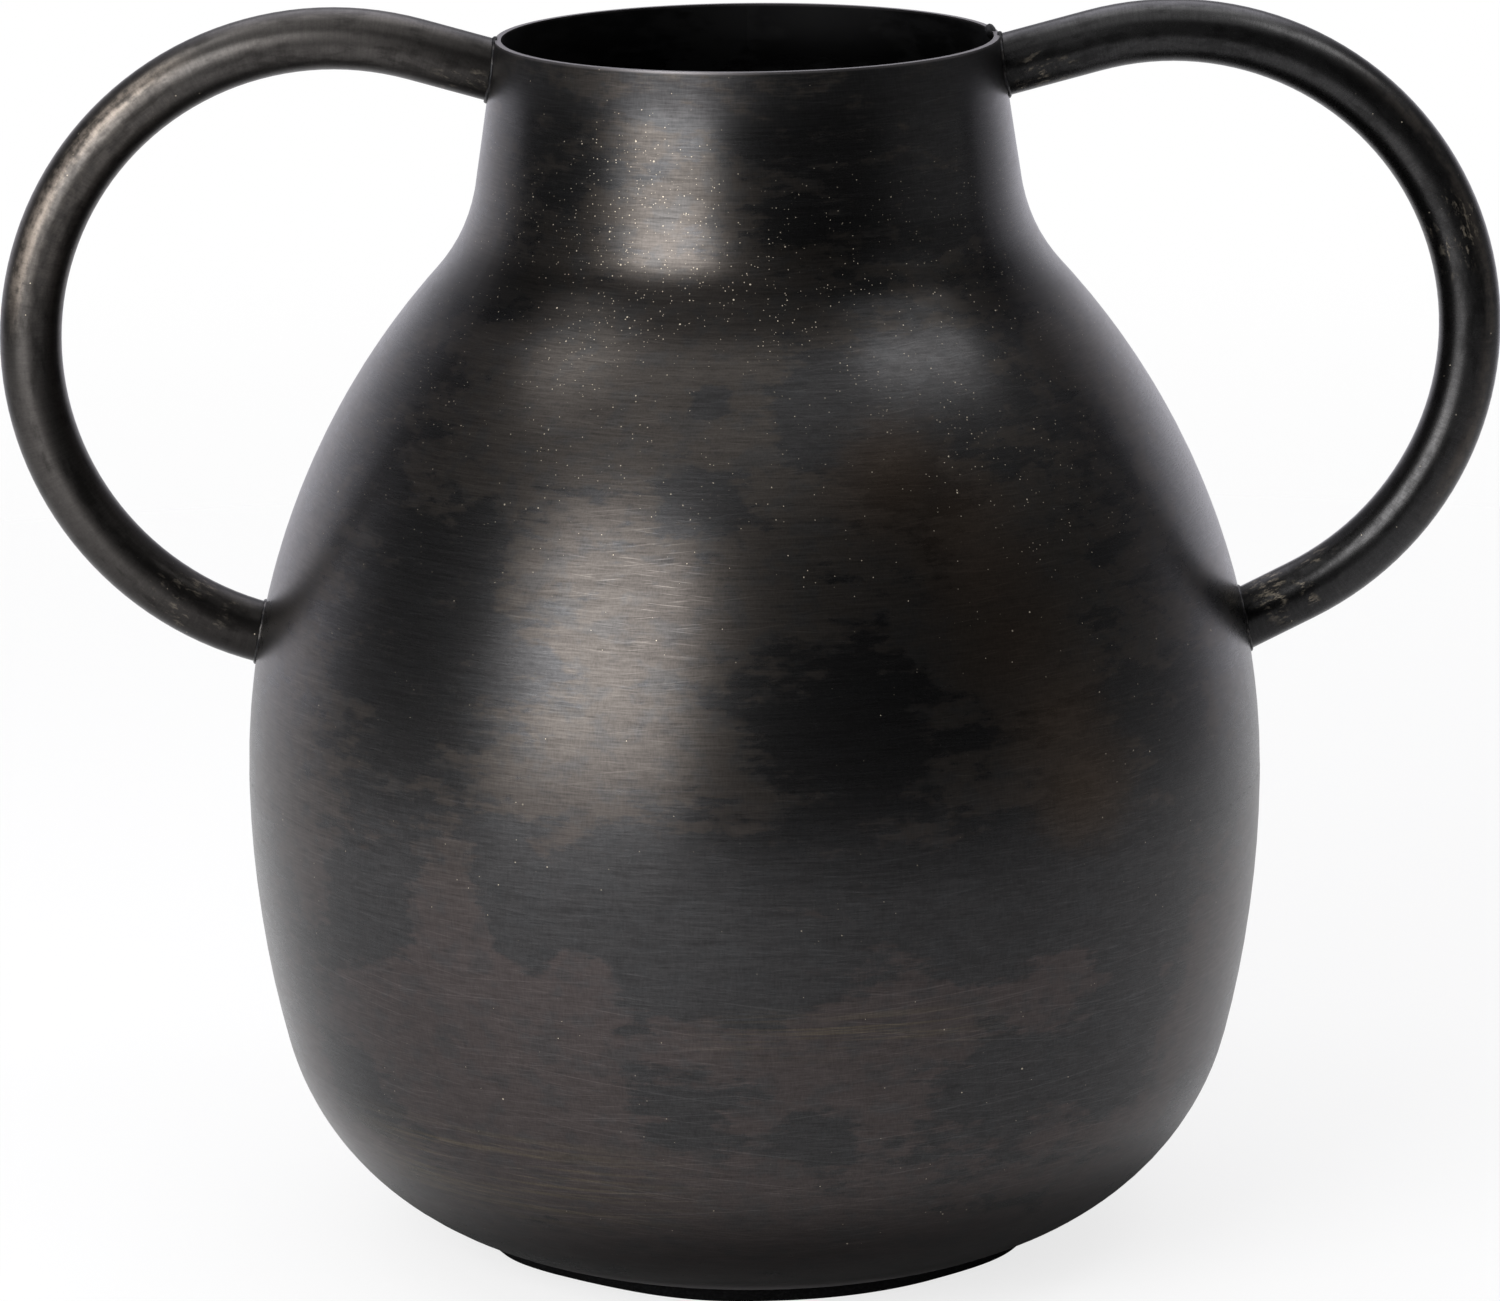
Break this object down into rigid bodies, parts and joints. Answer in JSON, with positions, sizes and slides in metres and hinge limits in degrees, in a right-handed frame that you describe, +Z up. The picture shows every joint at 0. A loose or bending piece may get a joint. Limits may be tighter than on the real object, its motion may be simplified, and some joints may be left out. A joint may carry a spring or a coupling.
{
  "type": "urn vase",
  "caption": "Pear-shaped metal urn vase with a short tapered neck, an open mouth, round tube handles from neck to shoulder, and a felt pad under its flat base.",
  "frame": {"origin": "middle of the underside of the felt pad, on the table", "axes": "+Z up along the turned axis, +X through the right handle, -Y towards the front"},
  "size_m": [0.3904, 0.2662, 0.3266],
  "materials": {
    "body": "satin",
    "handles": "satin",
    "welds": "satin",
    "pad": "matte"
  },
  "bodies": {
    "root": {"bowl": "body", "shoulder": "body", "neck": "body", "belly_seam": "body", "neck_seam": "body", "left_handle": "handles", "right_handle": "handles", "left_neck_weld": "welds", "left_shoulder_weld": "welds", "right_neck_weld": "welds", "right_shoulder_weld": "welds", "base_pad": "pad"}
  },
  "joints": []
}
